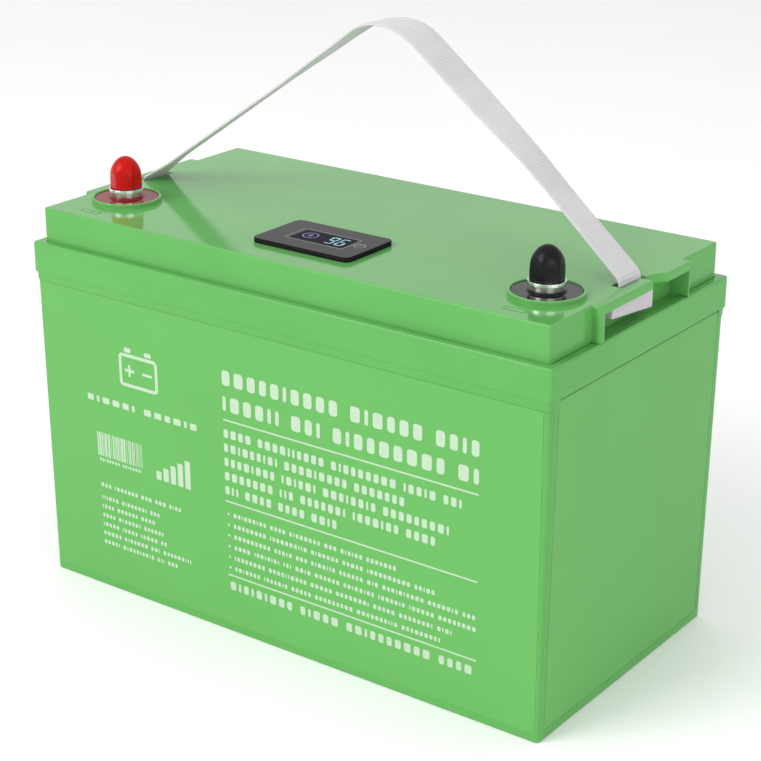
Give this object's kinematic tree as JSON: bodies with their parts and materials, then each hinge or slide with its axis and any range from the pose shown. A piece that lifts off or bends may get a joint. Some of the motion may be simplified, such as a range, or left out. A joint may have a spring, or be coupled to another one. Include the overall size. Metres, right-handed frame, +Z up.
{
  "type": "deep cycle battery",
  "caption": "Boxy green lithium deep cycle battery with a webbing carry strap, capped stud terminals and a small lid display.",
  "frame": {"origin": "middle of the underside of the case", "axes": "+X along the length towards the negative terminal, -Y towards the labelled front, +Z up"},
  "size_m": [0.33, 0.172, 0.3242],
  "materials": {
    "black_cable": "silicone cable",
    "black_plastic": "glossy black",
    "black_vinyl": "soft black vinyl",
    "cell_aluminium": "bare aluminium",
    "cell_wrap": "aluminium can in blue film",
    "circuit_board": "glass epoxy board",
    "foam_block": "closed cell foam",
    "green_plastic": "moulded ABS, glossy green",
    "label_film": "printed polyester film",
    "red_cable": "silicone cable",
    "red_plastic": "glossy red",
    "red_vinyl": "soft red vinyl",
    "rubber_seal": "nitrile rubber",
    "screen_glass": "liquid crystal panel",
    "sealant": "adhesive bead",
    "smoked_cover": "dark grey polished cover",
    "tinned_brass": "tin plated brass",
    "tinned_copper": "tinned copper",
    "tray_sheet": "glass epoxy sheet",
    "webbing": "woven nylon webbing",
    "white_plastic": "moulded nylon",
    "zinc_steel": "zinc plated steel"
  },
  "bodies": {
    "battery": {"case": "green_plastic", "lid": "green_plastic", "lid_seal": "sealant", "label_front": "label_film", "film_right": "label_film", "film_left": "label_film", "positive_disc": "red_plastic", "negative_disc": "black_plastic", "positive_post": "tinned_brass", "negative_post": "tinned_brass", "post_seals": "rubber_seal", "post_lock_nuts": "zinc_steel", "positive_stud": "zinc_steel", "negative_stud": "zinc_steel", "positive_washer": "zinc_steel", "negative_washer": "zinc_steel", "positive_nut": "zinc_steel", "negative_nut": "zinc_steel", "display_bezel": "black_plastic", "display_cover": "smoked_cover", "display_screen": "screen_glass", "display_board": "circuit_board", "strap_end_left": "webbing", "strap_end_right": "webbing", "strap_stop_left": "white_plastic", "strap_stop_right": "white_plastic", "base_pad": "foam_block", "cell_1": "cell_wrap", "cell_2": "cell_wrap", "cell_3": "cell_wrap", "cell_4": "cell_wrap", "cell_posts": "cell_aluminium", "spacer_1": "tray_sheet", "spacer_2": "tray_sheet", "spacer_3": "tray_sheet", "end_plate_left": "cell_aluminium", "end_plate_right": "cell_aluminium", "foam_left": "foam_block", "foam_right": "foam_block", "pack_band_lower": "zinc_steel", "pack_band_upper": "zinc_steel", "busbar_1": "tinned_copper", "busbar_2": "tinned_copper", "busbar_3": "tinned_copper", "tab_positive": "tinned_copper", "tab_negative": "tinned_copper", "busbar_nuts": "zinc_steel", "bms_standoffs": "white_plastic", "bms_tray": "tray_sheet", "bms_board": "circuit_board", "bms_heatsink": "cell_aluminium", "cable_lugs": "tinned_copper", "positive_cable": "red_cable", "pack_cable": "black_cable", "negative_cable": "black_cable", "display_cable": "black_cable"},
    "handle": {"handle_strap": "webbing"},
    "positive_cover": {"positive_cap": "red_vinyl"},
    "negative_cover": {"negative_cap": "black_vinyl"},
    "key": {"display_key": "black_plastic"}
  },
  "joints": [
    {"name": "handle_swing", "type": "hinge", "parent": "battery", "child": "handle", "pos_m": [0, 0, 0.216], "axis": [0.9998, -0.0197, 0], "range_deg": [-55, 55]},
    {"name": "positive_cap_lift", "type": "slide", "parent": "battery", "child": "positive_cover", "axis": [0, 0, 1], "range_m": [0, 0.04]},
    {"name": "negative_cap_lift", "type": "slide", "parent": "battery", "child": "negative_cover", "axis": [0, 0, 1], "range_m": [0, 0.04]},
    {"name": "display_key_press", "type": "slide", "parent": "battery", "child": "key", "axis": [0, 0, -1], "range_m": [0, 0.0005], "stiffness_N_per_m": 2000}
  ]
}
